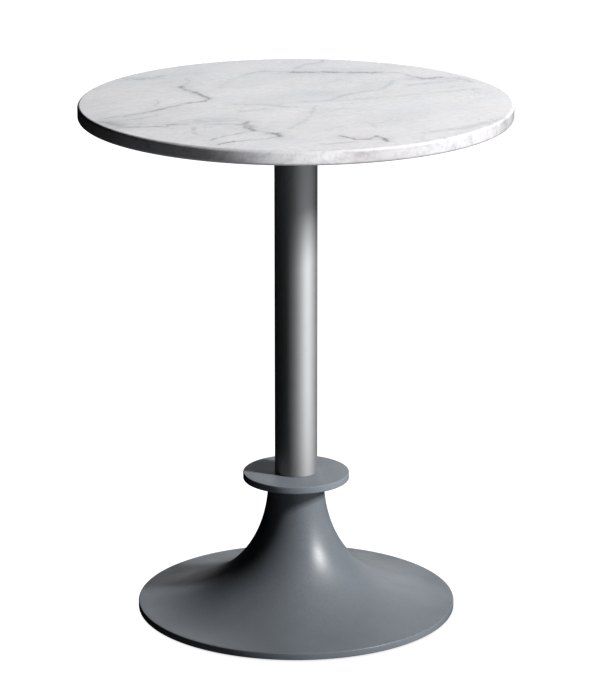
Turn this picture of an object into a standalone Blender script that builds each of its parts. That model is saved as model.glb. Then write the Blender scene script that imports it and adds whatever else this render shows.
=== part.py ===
"""A round marble bistro table on a trumpet-shaped cast base, as separate pieces at their real size.

Metres, +Z up. The origin is on the floor, at the centre of the base, which is also the axis of the column.
Run it with: blender --background --python part.py, or from Blender's text editor.
"""

from math import cos, pi, radians, sin

import bmesh
import bpy
from mathutils import Matrix, Vector

# Driving dimensions, in metres.
FIT_GAP = 0.0003  # left between pieces that touch

TABLE_HEIGHT = 0.735
TOP_DIAMETER = 0.600
TOP_THICKNESS = 0.020
TOP_EDGE_RADIUS = 0.004

STEM_DIAMETER = 0.060
STEM_WALL = 0.003

COLLAR_DIAMETER = 0.150
COLLAR_THICKNESS = 0.010
COLLAR_TOP_HEIGHT = 0.202
COLLAR_EDGE_RADIUS = 0.0012

BASE_DIAMETER = 0.450
RIM_HEIGHT = 0.010
RIM_CLEARANCE = 0.0025  # from the floor to the underside of the rim
RIM_EDGE_RADIUS = 0.0015
NECK_DIAMETER = 0.079
NECK_DROP = 0.090  # how long the neck keeps its straight direction
DISC_REACH = 0.132  # how far the disc keeps its shallow slope in from the rim
DISC_SLOPE = 0.059
CASTING_WALL = 0.008
RIM_LAND = 0.004  # between the rim's inner edge and the end of the inside curve
PLUG_POCKET_DEPTH = 0.032
WEB_THICKNESS = 0.012  # the floor of the pocket, which the tie rod clamps

ARM_COUNT = 4
SPIDER_ARM_WIDTH = 0.032
SPIDER_ARM_THICKNESS = 0.008
SPIDER_FILLET = 0.024
SPIDER_HUB_DIAMETER = 0.072
SPIDER_HUB_DEPTH = 0.022
SPIDER_HUB_OVERLAP = 0.001  # the hub's top lies this far inside the arms
HUB_EDGE_RADIUS = 0.002
SPIGOT_DEPTH = 0.018
SPIGOT_CHAMFER = 0.002
SCREW_CIRCLE_RADIUS = 0.115
PAD_DIAMETER = 0.030
PAD_THICKNESS = 0.002

ROD_DIAMETER = 0.012
ROD_HOLE_DIAMETER = 0.0136
ROD_END_LENGTH = 0.006  # stands out below the nut
ROD_TOP_DEPTH = 0.008  # from the spider's top down to the end of the rod
ROD_NUT_FLATS = 0.018
ROD_NUT_HEIGHT = 0.0108
CLAMP_WASHER_DIAMETER = 0.050
CLAMP_WASHER_THICKNESS = 0.004
SPRING_WASHER_DIAMETER = 0.0211
SPRING_WASHER_THICKNESS = 0.0025
SPRING_WASHER_SLIT = 0.0015
SPRING_WASHER_SLANT = 25  # degrees
PLUG_REACH = 0.020  # how far the centring plug stands up into the stem

SCREW_DIAMETER = 0.006
SCREW_HEAD_FLATS = 0.010
SCREW_HEAD_HEIGHT = 0.004
WASHER_DIAMETER = 0.0125
WASHER_THICKNESS = 0.0016
INSERT_DIAMETER = 0.010
INSERT_LENGTH = 0.012
SCREW_TIP_SHORTFALL = 0.0013  # the screw ends this far below the insert's inner end

GLIDE_COUNT = 4
GLIDE_CIRCLE_RADIUS = 0.176
GLIDE_PAD_DIAMETER = 0.026
GLIDE_PAD_THICKNESS = 0.004
GLIDE_STUD_DIAMETER = 0.008
GLIDE_HEX_FLATS = 0.013
GLIDE_HEX_HEIGHT = 0.0025
GLIDE_THREAD_LENGTH = 0.0095
GLIDE_HEAD_DIAMETER = 0.012  # the round head that turns in the pad
GLIDE_HEAD_HEIGHT = 0.002
GLIDE_HEAD_DEPTH = 0.0006  # from the pad's top down to the head
GLIDE_BOSS_DIAMETER = 0.019
GLIDE_BOSS_BURIAL = 0.0084  # how far the boss runs up into the casting's wall

FINE_CHAMFER = 0.0003
SMALL_CHAMFER = 0.0006
WIDE_CHAMFER = 0.0012
CUT_OVERSHOOT = 0.005  # how far a cutter runs past the faces that it cuts

LARGE_STEPS = 72
MEDIUM_STEPS = 40
SMALL_STEPS = 18
FLARE_STEPS = 14
MERGE_DISTANCE = 0.00001
SHARP_ANGLE = 30  # degrees. A steeper corner than this is drawn sharp

# Heights that follow from them.
TOP_UNDERSIDE = TABLE_HEIGHT - TOP_THICKNESS
SPIDER_TOP = TOP_UNDERSIDE - PAD_THICKNESS - 2 * FIT_GAP
ARM_UNDERSIDE = SPIDER_TOP - SPIDER_ARM_THICKNESS
HUB_UNDERSIDE = SPIDER_TOP - SPIDER_HUB_DEPTH
STEM_TOP = HUB_UNDERSIDE - FIT_GAP
STEM_BOTTOM = COLLAR_TOP_HEIGHT + FIT_GAP
STEM_BORE_RADIUS = STEM_DIAMETER / 2 - STEM_WALL
COLLAR_UNDERSIDE = COLLAR_TOP_HEIGHT - COLLAR_THICKNESS
CASTING_TOP = COLLAR_UNDERSIDE - FIT_GAP
POCKET_FLOOR = CASTING_TOP - PLUG_POCKET_DEPTH
WEB_UNDERSIDE = POCKET_FLOOR - WEB_THICKNESS
CLAMP_WASHER_TOP = WEB_UNDERSIDE - FIT_GAP
SPRING_WASHER_TOP = CLAMP_WASHER_TOP - CLAMP_WASHER_THICKNESS - FIT_GAP
ROD_NUT_TOP = SPRING_WASHER_TOP - SPRING_WASHER_THICKNESS - FIT_GAP
ROD_BOTTOM = ROD_NUT_TOP - ROD_NUT_HEIGHT - ROD_END_LENGTH
ROD_TOP = SPIDER_TOP - ROD_TOP_DEPTH
GLIDE_HEX_UNDERSIDE = GLIDE_PAD_THICKNESS + FIT_GAP
GLIDE_HEX_TOP = GLIDE_HEX_UNDERSIDE + GLIDE_HEX_HEIGHT
GLIDE_BOSS_UNDERSIDE = GLIDE_HEX_TOP + FIT_GAP
GLIDE_STUD_TOP = GLIDE_HEX_TOP + GLIDE_THREAD_LENGTH
INSERT_UNDERSIDE = TOP_UNDERSIDE + FIT_GAP
ROD_CLEARANCE_RADIUS = ROD_DIAMETER / 2 + FIT_GAP
SCREW_CLEARANCE_RADIUS = SCREW_DIAMETER / 2 + FIT_GAP


def clear_scene():
    """Removes whatever the scene holds."""
    for obj in list(bpy.data.objects):
        bpy.data.objects.remove(obj, do_unlink=True)


def new_collection(name):
    """A new collection in the scene."""
    collection = bpy.data.collections.new(name)
    bpy.context.scene.collection.children.link(collection)
    return collection


def new_material(name, color, roughness, metallic):
    """A Principled material of one colour."""
    material = bpy.data.materials.new(name)
    material.use_nodes = True
    shader = material.node_tree.nodes["Principled BSDF"]
    shader.inputs["Base Color"].default_value = (*color, 1.0)
    shader.inputs["Roughness"].default_value = roughness
    shader.inputs["Metallic"].default_value = metallic
    material.diffuse_color = (*color, 1.0)
    return material


def arc(centre, radius, start, end, steps):
    """Points (x, z) on an arc, from one angle to the other, in degrees."""
    angles = [radians(start + (end - start) * i / steps) for i in range(steps + 1)]
    return [(centre[0] + radius * cos(a), centre[1] + radius * sin(a)) for a in angles]


def circle_points(radius, count, first_angle):
    """Points (x, y, 0) spaced evenly on a circle round the table's axis."""
    angles = [first_angle + 2 * pi * i / count for i in range(count)]
    return [Vector((radius * cos(a), radius * sin(a), 0)) for a in angles]


def link(obj, collection, material=None):
    """Puts an object in a collection, with its material if it has one."""
    collection.objects.link(obj)
    if material:
        obj.data.materials.append(material)
    return obj


def turned(name, profile, steps, collection, material=None, closed=False):
    """A solid turned round Z. The profile runs down its outer side, and a closed one is a ring's section."""
    mesh = bpy.data.meshes.new(name)
    edges = [(i, i + 1) for i in range(len(profile) - 1)]
    if closed:
        edges.append((len(profile) - 1, 0))
    mesh.from_pydata([(x, 0.0, z) for x, z in profile], edges, [])
    outline = link(bpy.data.objects.new(f"{name}_outline", mesh), collection)
    screw = outline.modifiers.new("Turned", "SCREW")
    screw.steps = steps
    screw.render_steps = steps
    screw.use_merge_vertices = True
    screw.merge_threshold = MERGE_DISTANCE
    solid = link(bpy.data.objects.new(name, finished_mesh(outline)), collection, material)
    return shade(solid)


def cylinder_profile(radius, bottom, top, chamfer=0.0):
    """The outline of a solid cylinder, with chamfered ends if asked."""
    if not chamfer:
        return [(0, top), (radius, top), (radius, bottom), (0, bottom)]
    inner = radius - chamfer
    return [
        (0, top),
        (inner, top),
        (radius, top - chamfer),
        (radius, bottom + chamfer),
        (inner, bottom),
        (0, bottom),
    ]


def ring_profile(outer, inner, bottom, top, chamfer):
    """The section of a ring with chamfered outer edges."""
    return [
        (inner, top),
        (outer - chamfer, top),
        (outer, top - chamfer),
        (outer, bottom + chamfer),
        (outer - chamfer, bottom),
        (inner, bottom),
    ]


def boolean(obj, operation, other):
    """Joins, cuts or intersects an object with another."""
    modifier = obj.modifiers.new(operation.title(), "BOOLEAN")
    modifier.operation = operation
    modifier.solver = "EXACT"
    modifier.object = other
    return modifier


def as_cutter(obj):
    """Marks a helper object, which isn't part of the table."""
    obj.hide_render = True
    obj.display_type = "WIRE"
    return obj


def cylinder_cutter(name, radius, bottom, top, centre=(0, 0), steps=SMALL_STEPS):
    """A cylinder that cuts a hole, or that a Boolean joins on."""
    cutter = turned(name, cylinder_profile(radius, bottom, top), steps, cutters)
    cutter.location = (centre[0], centre[1], 0)
    return as_cutter(cutter)


def hex_cutter(name, flats, bottom, top):
    """An upright hexagonal prism, flats apart, which trims a turned blank to a hexagon."""
    mesh = bpy.data.meshes.new(name)
    cage = bmesh.new()
    bmesh.ops.create_cone(
        cage,
        cap_ends=True,
        segments=6,
        radius1=flats / 2 / cos(pi / 6),
        radius2=flats / 2 / cos(pi / 6),
        depth=top - bottom,
        matrix=Matrix.Translation((0, 0, (top + bottom) / 2)),
    )
    cage.to_mesh(mesh)
    cage.free()
    return as_cutter(link(bpy.data.objects.new(name, mesh), cutters))


def shade(obj):
    """Shades a round piece smooth, and keeps its corners sharp."""
    obj.data.shade_smooth()
    obj.data.set_sharp_from_angle(angle=radians(SHARP_ANGLE))
    return obj


def finished_mesh(obj):
    """The mesh that an object's modifiers make. The object itself is removed."""
    bpy.context.view_layer.update()
    graph = bpy.context.evaluated_depsgraph_get()
    mesh = bpy.data.meshes.new_from_object(obj.evaluated_get(graph))
    bpy.data.objects.remove(obj)
    return mesh


def copies(prototype, name, points, parents=None):
    """Places a copy of a finished piece at each point, or on each parent. The copies share one mesh."""
    mesh = finished_mesh(prototype)
    for number, point in enumerate(points, start=1):
        obj = shade(link(bpy.data.objects.new(f"{name}_{number}", mesh), parts))
        if parents:
            obj.parent = parents[number - 1]
        else:
            obj.location = point


def flare_points():
    """Points (radius, height) down the outside of the base, from the neck to the rim, on one cubic curve."""
    neck = Vector((NECK_DIAMETER / 2, CASTING_TOP))
    rim = Vector((BASE_DIAMETER / 2 - RIM_EDGE_RADIUS, RIM_CLEARANCE + RIM_HEIGHT))
    below_neck = neck - Vector((0, NECK_DROP))
    inside_rim = rim + Vector((-DISC_REACH, DISC_REACH * DISC_SLOPE))
    points = []
    for i in range(FLARE_STEPS + 1):
        t = i / FLARE_STEPS
        s = 1 - t
        point = s**3 * neck + 3 * s**2 * t * below_neck + 3 * s * t**2 * inside_rim + t**3 * rim
        points.append(point)
    return points


def inward_offset(points, distance):
    """The same curve moved square to itself, towards the inside of the base."""
    moved = []
    for i, point in enumerate(points):
        before = points[max(i - 1, 0)]
        after = points[min(i + 1, len(points) - 1)]
        along = (after - before).normalized()
        moved.append(point + distance * Vector((along.y, -along.x)))
    return moved


def make_marble_top():
    """The round slab, with eased edges and a blind hole under it for each insert."""
    radius = TOP_DIAMETER / 2
    flat = radius - TOP_EDGE_RADIUS
    upper = (flat, TABLE_HEIGHT - TOP_EDGE_RADIUS)
    lower = (flat, TOP_UNDERSIDE + TOP_EDGE_RADIUS)
    profile = [(0, TABLE_HEIGHT)]
    profile += arc(upper, TOP_EDGE_RADIUS, 90, 0, 4)
    profile += arc(lower, TOP_EDGE_RADIUS, 0, -90, 4)
    profile += [(0, TOP_UNDERSIDE)]
    top = turned("marble_top", profile, LARGE_STEPS, parts, marble)
    for number, point in enumerate(SCREW_POINTS, start=1):
        hole = cylinder_cutter(
            f"insert_hole_{number}",
            INSERT_DIAMETER / 2 + FIT_GAP,
            TOP_UNDERSIDE - CUT_OVERSHOOT,
            INSERT_UNDERSIDE + INSERT_LENGTH + FIT_GAP,
            point,
        )
        boolean(top, "DIFFERENCE", hole)


def make_inserts():
    """Brass threaded inserts, bonded into the slab's blind holes."""
    profile = ring_profile(
        INSERT_DIAMETER / 2,
        SCREW_CLEARANCE_RADIUS,
        INSERT_UNDERSIDE,
        INSERT_UNDERSIDE + INSERT_LENGTH,
        SMALL_CHAMFER,
    )
    blank = turned("insert", profile, SMALL_STEPS, parts, brass, closed=True)
    copies(blank, "insert", SCREW_POINTS)


def make_top_pads():
    """Rubber pads between the spider's arms and the stone."""
    profile = ring_profile(
        PAD_DIAMETER / 2,
        SCREW_CLEARANCE_RADIUS,
        SPIDER_TOP + FIT_GAP,
        SPIDER_TOP + FIT_GAP + PAD_THICKNESS,
        FINE_CHAMFER,
    )
    blank = turned("top_pad", profile, SMALL_STEPS, parts, rubber, closed=True)
    copies(blank, "top_pad", SCREW_POINTS)


def cross_outline():
    """The spider's plan: straight arms with round ends, and fillets where they meet."""
    half_width = SPIDER_ARM_WIDTH / 2
    corner = half_width + SPIDER_FILLET
    points = []
    for arm in range(ARM_COUNT):
        turn = Matrix.Rotation(arm * 2 * pi / ARM_COUNT, 2)
        outline = arc((SCREW_CIRCLE_RADIUS, 0), half_width, -90, 90, 12)
        outline += arc((corner, corner), SPIDER_FILLET, 270, 180, 6)
        points += [turn @ Vector(point) for point in outline]
    return points


def make_top_spider():
    """The four-armed casting under the slab, with a hub that sits on the stem and a spigot inside it."""
    curve = bpy.data.curves.new("spider_arms", "CURVE")
    curve.dimensions = "2D"
    curve.fill_mode = "BOTH"
    curve.extrude = SPIDER_ARM_THICKNESS / 2
    outline = cross_outline()
    spline = curve.splines.new("POLY")
    spline.points.add(len(outline) - 1)
    spline.use_cyclic_u = True
    for control, point in zip(spline.points, outline):
        control.co = (point.x, point.y, 0, 1)
    drawn = link(bpy.data.objects.new("spider_arms", curve), parts)
    mesh = finished_mesh(drawn)
    mesh.transform(Matrix.Translation((0, 0, SPIDER_TOP - SPIDER_ARM_THICKNESS / 2)))
    mesh.transform(Matrix.Rotation(pi / 4, 4, "Z"))
    cage = bmesh.new()
    cage.from_mesh(mesh)
    bmesh.ops.remove_doubles(cage, verts=cage.verts, dist=MERGE_DISTANCE)
    cage.to_mesh(mesh)
    cage.free()
    spider = link(bpy.data.objects.new("top_spider", mesh), parts, black_iron)
    hub_radius = SPIDER_HUB_DIAMETER / 2
    spigot_radius = STEM_BORE_RADIUS - FIT_GAP
    hub_top = SPIDER_TOP - SPIDER_HUB_OVERLAP
    spigot_underside = HUB_UNDERSIDE - SPIGOT_DEPTH
    rounding = (hub_radius - HUB_EDGE_RADIUS, HUB_UNDERSIDE + HUB_EDGE_RADIUS)
    hub_profile = [(0, hub_top), (hub_radius, hub_top)]
    hub_profile += arc(rounding, HUB_EDGE_RADIUS, 0, -90, 3)
    hub_profile += [(spigot_radius, HUB_UNDERSIDE)]
    hub_profile += [(spigot_radius, spigot_underside + SPIGOT_CHAMFER)]
    hub_profile += [(spigot_radius - SPIGOT_CHAMFER, spigot_underside)]
    hub_profile += [(0, spigot_underside)]
    hub = as_cutter(turned("spider_hub", hub_profile, MEDIUM_STEPS, cutters))
    boolean(spider, "UNION", hub)
    low = spigot_underside - CUT_OVERSHOOT
    high = SPIDER_TOP + CUT_OVERSHOOT
    boolean(spider, "DIFFERENCE", cylinder_cutter("spider_bore", ROD_CLEARANCE_RADIUS, low, high))
    for number, point in enumerate(SCREW_POINTS, start=1):
        hole = cylinder_cutter(f"arm_hole_{number}", SCREW_CLEARANCE_RADIUS, low, high, point)
        boolean(spider, "DIFFERENCE", hole)


def make_top_screws():
    """Hexagon-head screws and washers that hold the spider to the inserts."""
    washer_top = ARM_UNDERSIDE - FIT_GAP
    washer_profile = ring_profile(
        WASHER_DIAMETER / 2,
        SCREW_CLEARANCE_RADIUS,
        washer_top - WASHER_THICKNESS,
        washer_top,
        FINE_CHAMFER,
    )
    washer = turned("top_washer", washer_profile, SMALL_STEPS, parts, zinc_steel, closed=True)
    copies(washer, "top_washer", SCREW_POINTS)

    head_top = washer_top - WASHER_THICKNESS - FIT_GAP
    head_bottom = head_top - SCREW_HEAD_HEIGHT
    corner = SCREW_HEAD_FLATS / 2 / cos(pi / 6)
    shank = SCREW_DIAMETER / 2
    tip = INSERT_UNDERSIDE + INSERT_LENGTH - SCREW_TIP_SHORTFALL
    blank_profile = [
        (0, tip),
        (shank - SMALL_CHAMFER, tip),
        (shank, tip - SMALL_CHAMFER),
        (shank, head_top),
        (corner, head_top),
        (corner, head_bottom + SMALL_CHAMFER),
        (corner - WIDE_CHAMFER, head_bottom),
        (0, head_bottom),
    ]
    screw = turned("top_screw", blank_profile, SMALL_STEPS, parts, zinc_steel)
    hexagon = hex_cutter("screw_hexagon", SCREW_HEAD_FLATS, head_bottom - CUT_OVERSHOOT, tip + CUT_OVERSHOOT)
    boolean(screw, "INTERSECT", hexagon)
    copies(screw, "top_screw", SCREW_POINTS)


def make_stem():
    """The column: a straight tube."""
    profile = ring_profile(STEM_DIAMETER / 2, STEM_BORE_RADIUS, STEM_BOTTOM, STEM_TOP, FINE_CHAMFER)
    turned("stem_tube", profile, MEDIUM_STEPS, parts, satin_steel, closed=True)


def make_stem_plug():
    """The plug that centres the stem, the collar and the base on one another."""
    profile = ring_profile(
        STEM_BORE_RADIUS - FIT_GAP,
        ROD_HOLE_DIAMETER / 2,
        POCKET_FLOOR + FIT_GAP,
        COLLAR_TOP_HEIGHT + PLUG_REACH,
        WIDE_CHAMFER,
    )
    turned("stem_plug", profile, MEDIUM_STEPS, parts, zinc_steel, closed=True)


def make_collar():
    """The flat disc between the stem and the base."""
    radius = COLLAR_DIAMETER / 2
    edge = radius - COLLAR_EDGE_RADIUS
    profile = [(STEM_BORE_RADIUS, COLLAR_TOP_HEIGHT)]
    profile += arc((edge, COLLAR_TOP_HEIGHT - COLLAR_EDGE_RADIUS), COLLAR_EDGE_RADIUS, 90, 0, 2)
    profile += arc((edge, COLLAR_UNDERSIDE + COLLAR_EDGE_RADIUS), COLLAR_EDGE_RADIUS, 0, -90, 2)
    profile += [(STEM_BORE_RADIUS, COLLAR_UNDERSIDE)]
    turned("collar_disc", profile, LARGE_STEPS, parts, grey_paint, closed=True)


def make_base_casting():
    """The trumpet base: a shell with a pocket and a clamping web in its neck, and bosses for the glides."""
    rim_radius = BASE_DIAMETER / 2
    rim_inside = rim_radius - CASTING_WALL
    rim_top = RIM_CLEARANCE + RIM_HEIGHT
    edge = rim_radius - RIM_EDGE_RADIUS
    outside = flare_points()
    inside = [
        point
        for point in inward_offset(outside, CASTING_WALL)
        if point.y < WEB_UNDERSIDE and point.x < rim_inside - RIM_LAND
    ]
    profile = [(STEM_BORE_RADIUS, CASTING_TOP)]
    profile += [(point.x, point.y) for point in outside[:-1]]
    profile += arc((edge, rim_top - RIM_EDGE_RADIUS), RIM_EDGE_RADIUS, 90, 0, 3)
    profile += arc((edge, RIM_CLEARANCE + RIM_EDGE_RADIUS), RIM_EDGE_RADIUS, 0, -90, 3)
    profile += [(rim_inside, RIM_CLEARANCE)]
    profile += [(point.x, point.y) for point in reversed(inside)]
    profile += [(inside[0].x, WEB_UNDERSIDE)]
    profile += [(ROD_HOLE_DIAMETER / 2, WEB_UNDERSIDE)]
    profile += [(ROD_HOLE_DIAMETER / 2, POCKET_FLOOR)]
    profile += [(STEM_BORE_RADIUS, POCKET_FLOOR)]
    casting = turned("base_casting", profile, LARGE_STEPS, parts, grey_paint, closed=True)
    boss_top = GLIDE_BOSS_UNDERSIDE + GLIDE_BOSS_BURIAL
    for number, point in enumerate(GLIDE_POINTS, start=1):
        boss = cylinder_cutter(
            f"glide_boss_{number}", GLIDE_BOSS_DIAMETER / 2, GLIDE_BOSS_UNDERSIDE, boss_top, point
        )
        boolean(casting, "UNION", boss)
    for number, point in enumerate(GLIDE_POINTS, start=1):
        hole = cylinder_cutter(
            f"glide_hole_{number}",
            GLIDE_STUD_DIAMETER / 2 + FIT_GAP,
            GLIDE_BOSS_UNDERSIDE - CUT_OVERSHOOT,
            GLIDE_STUD_TOP + FIT_GAP,
            point,
        )
        boolean(casting, "DIFFERENCE", hole)


def make_tie_rod():
    """The rod that pulls the spider, stem, collar and base together."""
    profile = cylinder_profile(ROD_DIAMETER / 2, ROD_BOTTOM, ROD_TOP, WIDE_CHAMFER)
    turned("tie_rod", profile, SMALL_STEPS, parts, zinc_steel)


def make_clamp():
    """What tightens the rod under the base: a plate washer, a split spring washer and a nut."""
    plate_profile = ring_profile(
        CLAMP_WASHER_DIAMETER / 2,
        ROD_CLEARANCE_RADIUS,
        CLAMP_WASHER_TOP - CLAMP_WASHER_THICKNESS,
        CLAMP_WASHER_TOP,
        SMALL_CHAMFER,
    )
    turned("clamp_washer", plate_profile, MEDIUM_STEPS, parts, zinc_steel, closed=True)

    spring_bottom = SPRING_WASHER_TOP - SPRING_WASHER_THICKNESS
    spring_profile = ring_profile(
        SPRING_WASHER_DIAMETER / 2,
        ROD_CLEARANCE_RADIUS,
        spring_bottom,
        SPRING_WASHER_TOP,
        FINE_CHAMFER,
    )
    spring = turned("spring_washer", spring_profile, SMALL_STEPS, parts, zinc_steel, closed=True)
    slit_mesh = bpy.data.meshes.new("washer_slit")
    cage = bmesh.new()
    bmesh.ops.create_cube(cage, size=1.0)
    slit_height = SPRING_WASHER_THICKNESS + 2 * CUT_OVERSHOOT
    bmesh.ops.scale(cage, verts=cage.verts, vec=(SPRING_WASHER_DIAMETER, SPRING_WASHER_SLIT, slit_height))
    cage.to_mesh(slit_mesh)
    cage.free()
    slit = as_cutter(link(bpy.data.objects.new("washer_slit", slit_mesh), cutters))
    slit.location = (SPRING_WASHER_DIAMETER / 2, 0, (spring_bottom + SPRING_WASHER_TOP) / 2)
    slit.rotation_euler = (radians(SPRING_WASHER_SLANT), 0, 0)
    boolean(spring, "DIFFERENCE", slit)

    nut_bottom = ROD_NUT_TOP - ROD_NUT_HEIGHT
    corner = ROD_NUT_FLATS / 2 / cos(pi / 6)
    nut_profile = ring_profile(corner, ROD_CLEARANCE_RADIUS, nut_bottom, ROD_NUT_TOP, WIDE_CHAMFER)
    nut = turned("rod_nut", nut_profile, SMALL_STEPS, parts, zinc_steel, closed=True)
    low = nut_bottom - CUT_OVERSHOOT
    high = ROD_NUT_TOP + CUT_OVERSHOOT
    boolean(nut, "INTERSECT", hex_cutter("nut_hexagon", ROD_NUT_FLATS, low, high))


def make_glides():
    """Levelling feet: a plastic pad that slides with its stud, and a threaded stud that turns in the pad."""
    axes = []
    for number, point in enumerate(GLIDE_POINTS, start=1):
        axis = link(bpy.data.objects.new(f"glide_axis_{number}", None), parts)
        axis.location = point
        axes.append(axis)

    pad_radius = GLIDE_PAD_DIAMETER / 2
    socket_radius = GLIDE_HEAD_DIAMETER / 2 + FIT_GAP
    head_bottom = GLIDE_PAD_THICKNESS - GLIDE_HEAD_DEPTH - GLIDE_HEAD_HEIGHT
    socket_floor = head_bottom - FIT_GAP
    pad_profile = [
        (0, socket_floor),
        (socket_radius, socket_floor),
        (socket_radius, GLIDE_PAD_THICKNESS),
        (pad_radius - SMALL_CHAMFER, GLIDE_PAD_THICKNESS),
        (pad_radius, GLIDE_PAD_THICKNESS - SMALL_CHAMFER),
        (pad_radius, SMALL_CHAMFER),
        (pad_radius - SMALL_CHAMFER, 0),
        (0, 0),
    ]
    pad = turned("glide_pad", pad_profile, SMALL_STEPS, parts, black_plastic)
    copies(pad, "glide_pad", GLIDE_POINTS, axes)

    stud_radius = GLIDE_STUD_DIAMETER / 2
    head_radius = GLIDE_HEAD_DIAMETER / 2
    corner = GLIDE_HEX_FLATS / 2 / cos(pi / 6)
    stud_profile = [
        (0, GLIDE_STUD_TOP),
        (stud_radius - SMALL_CHAMFER, GLIDE_STUD_TOP),
        (stud_radius, GLIDE_STUD_TOP - SMALL_CHAMFER),
        (stud_radius, GLIDE_HEX_TOP),
        (corner - SMALL_CHAMFER, GLIDE_HEX_TOP),
        (corner, GLIDE_HEX_TOP - FINE_CHAMFER),
        (corner, GLIDE_HEX_UNDERSIDE),
        (head_radius, GLIDE_HEX_UNDERSIDE),
        (head_radius, head_bottom),
        (0, head_bottom),
    ]
    stud = turned("glide_stud", stud_profile, SMALL_STEPS, parts, zinc_steel)
    high = GLIDE_STUD_TOP + CUT_OVERSHOOT
    boolean(stud, "INTERSECT", hex_cutter("stud_hexagon", GLIDE_HEX_FLATS, -CUT_OVERSHOOT, high))
    copies(stud, "glide_stud", GLIDE_POINTS, axes)


clear_scene()
parts = new_collection("bistro_table")
cutters = new_collection("cutters")

marble = new_material("marble", (0.83, 0.83, 0.84), 0.22, 0.0)
satin_steel = new_material("satin_steel", (0.42, 0.44, 0.46), 0.34, 1.0)
grey_paint = new_material("grey_paint", (0.105, 0.118, 0.130), 0.42, 0.0)
black_iron = new_material("black_iron", (0.030, 0.030, 0.032), 0.55, 0.0)
zinc_steel = new_material("zinc_steel", (0.62, 0.63, 0.64), 0.30, 1.0)
brass = new_material("brass", (0.78, 0.57, 0.26), 0.30, 1.0)
rubber = new_material("rubber", (0.025, 0.025, 0.025), 0.80, 0.0)
black_plastic = new_material("black_plastic", (0.035, 0.035, 0.037), 0.50, 0.0)

SCREW_POINTS = circle_points(SCREW_CIRCLE_RADIUS, ARM_COUNT, pi / 4)
GLIDE_POINTS = circle_points(GLIDE_CIRCLE_RADIUS, GLIDE_COUNT, pi / 4)

make_marble_top()
make_inserts()
make_top_pads()
make_top_spider()
make_top_screws()
make_stem()
make_stem_plug()
make_collar()
make_base_casting()
make_tie_rod()
make_clamp()
make_glides()
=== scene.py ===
"""The looks of the marble bistro table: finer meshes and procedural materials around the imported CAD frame.

Metres, +Z up, in the same frame as the CAD model. The table's axis is the Z axis and the floor is z = 0.
"""

from math import ceil, cos, pi, radians, sin, tan

import bmesh
import bpy
from mathutils import Matrix, Vector


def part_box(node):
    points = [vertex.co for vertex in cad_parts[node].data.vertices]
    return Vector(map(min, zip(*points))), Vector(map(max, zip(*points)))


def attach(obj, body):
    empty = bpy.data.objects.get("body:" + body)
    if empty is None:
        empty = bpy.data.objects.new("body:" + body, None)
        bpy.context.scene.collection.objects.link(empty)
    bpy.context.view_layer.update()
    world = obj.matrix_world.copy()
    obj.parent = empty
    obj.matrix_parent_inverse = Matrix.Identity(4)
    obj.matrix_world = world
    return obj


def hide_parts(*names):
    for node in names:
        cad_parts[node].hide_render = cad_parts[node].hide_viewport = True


# The camera stands a little above the table and well back from it, with a long lens.
CAMERA_DISTANCE = 4.7265
CAMERA_HEIGHT = 1.7563
CAMERA_PITCH = 16.233  # degrees below the horizon
CAMERA_YAW = -0.110  # degrees from straight ahead, and below 0 is to the right
CAMERA_LENS = 180.6  # mm
CAMERA_SENSOR = 36.0  # mm

NUMBERS = range(1, 5)  # of the four screws, inserts and glides

# The table's own dimensions, in metres, where a CAD node's box doesn't give them.
FIT_GAP = 0.0003  # between pieces that touch
SLAB_EDGE_RADIUS = 0.004
STEM_WALL = 0.003
COLLAR_EDGE_RADIUS = 0.0012
RIM_HEIGHT = 0.010
RIM_EDGE_RADIUS = 0.0015
RIM_LAND = 0.004
NECK_RADIUS = 0.0395
NECK_DROP = 0.090
DISC_REACH = 0.132
DISC_SLOPE = 0.059
CASTING_WALL = 0.008
POCKET_DEPTH = 0.032
WEB_THICKNESS = 0.012
ROD_HOLE_RADIUS = 0.0068

SPIDER_ARM_WIDTH = 0.032
SPIDER_ARM_THICKNESS = 0.008
SPIDER_FILLET = 0.024
SPIDER_HUB_RADIUS = 0.036
SPIDER_HUB_DEPTH = 0.022
SCREW_CIRCLE_RADIUS = 0.115
SCREW_RADIUS = 0.003
SCREW_PITCH = 0.001
SCREW_HEAD_FLATS = 0.010
SCREW_HEAD_HEIGHT = 0.004
ROD_RADIUS = 0.006
ROD_PITCH = 0.00175
ROD_THREAD_LENGTH = 0.050
ROD_NUT_FLATS = 0.018
GLIDE_BOSS_RADIUS = 0.0095
GLIDE_BOSS_BURIAL = 0.0084
GLIDE_STUD_RADIUS = 0.004
GLIDE_PITCH = 0.00125
GLIDE_HEX_FLATS = 0.013
GLIDE_HEX_HEIGHT = 0.0025
GLIDE_HEX_UNDERSIDE = 0.0043
GLIDE_HEAD_RADIUS = 0.006
INSERT_LENGTH = 0.012
INSERT_GROOVES = (0.0090, 0.0064, 0.0038)  # the top of each groove above the insert's foot
INSERT_GROOVE_DEPTH = 0.0005
PLUG_GROOVE_DEPTH = 0.0006
PLUG_GROOVE_REACH = (0.0014, 0.0020)  # how far the groove's floor and its edges lie from the seam
PAD_GROOVES = (0.0100, 0.0065)  # the outer radius of each groove under a glide
PAD_GROOVE_DEPTH = 0.0004
SLIT_SIZE = (0.0015, 0.0125)  # across and along the slit of the spring washer
SLIT_SLANT = 25  # degrees from upright

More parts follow.
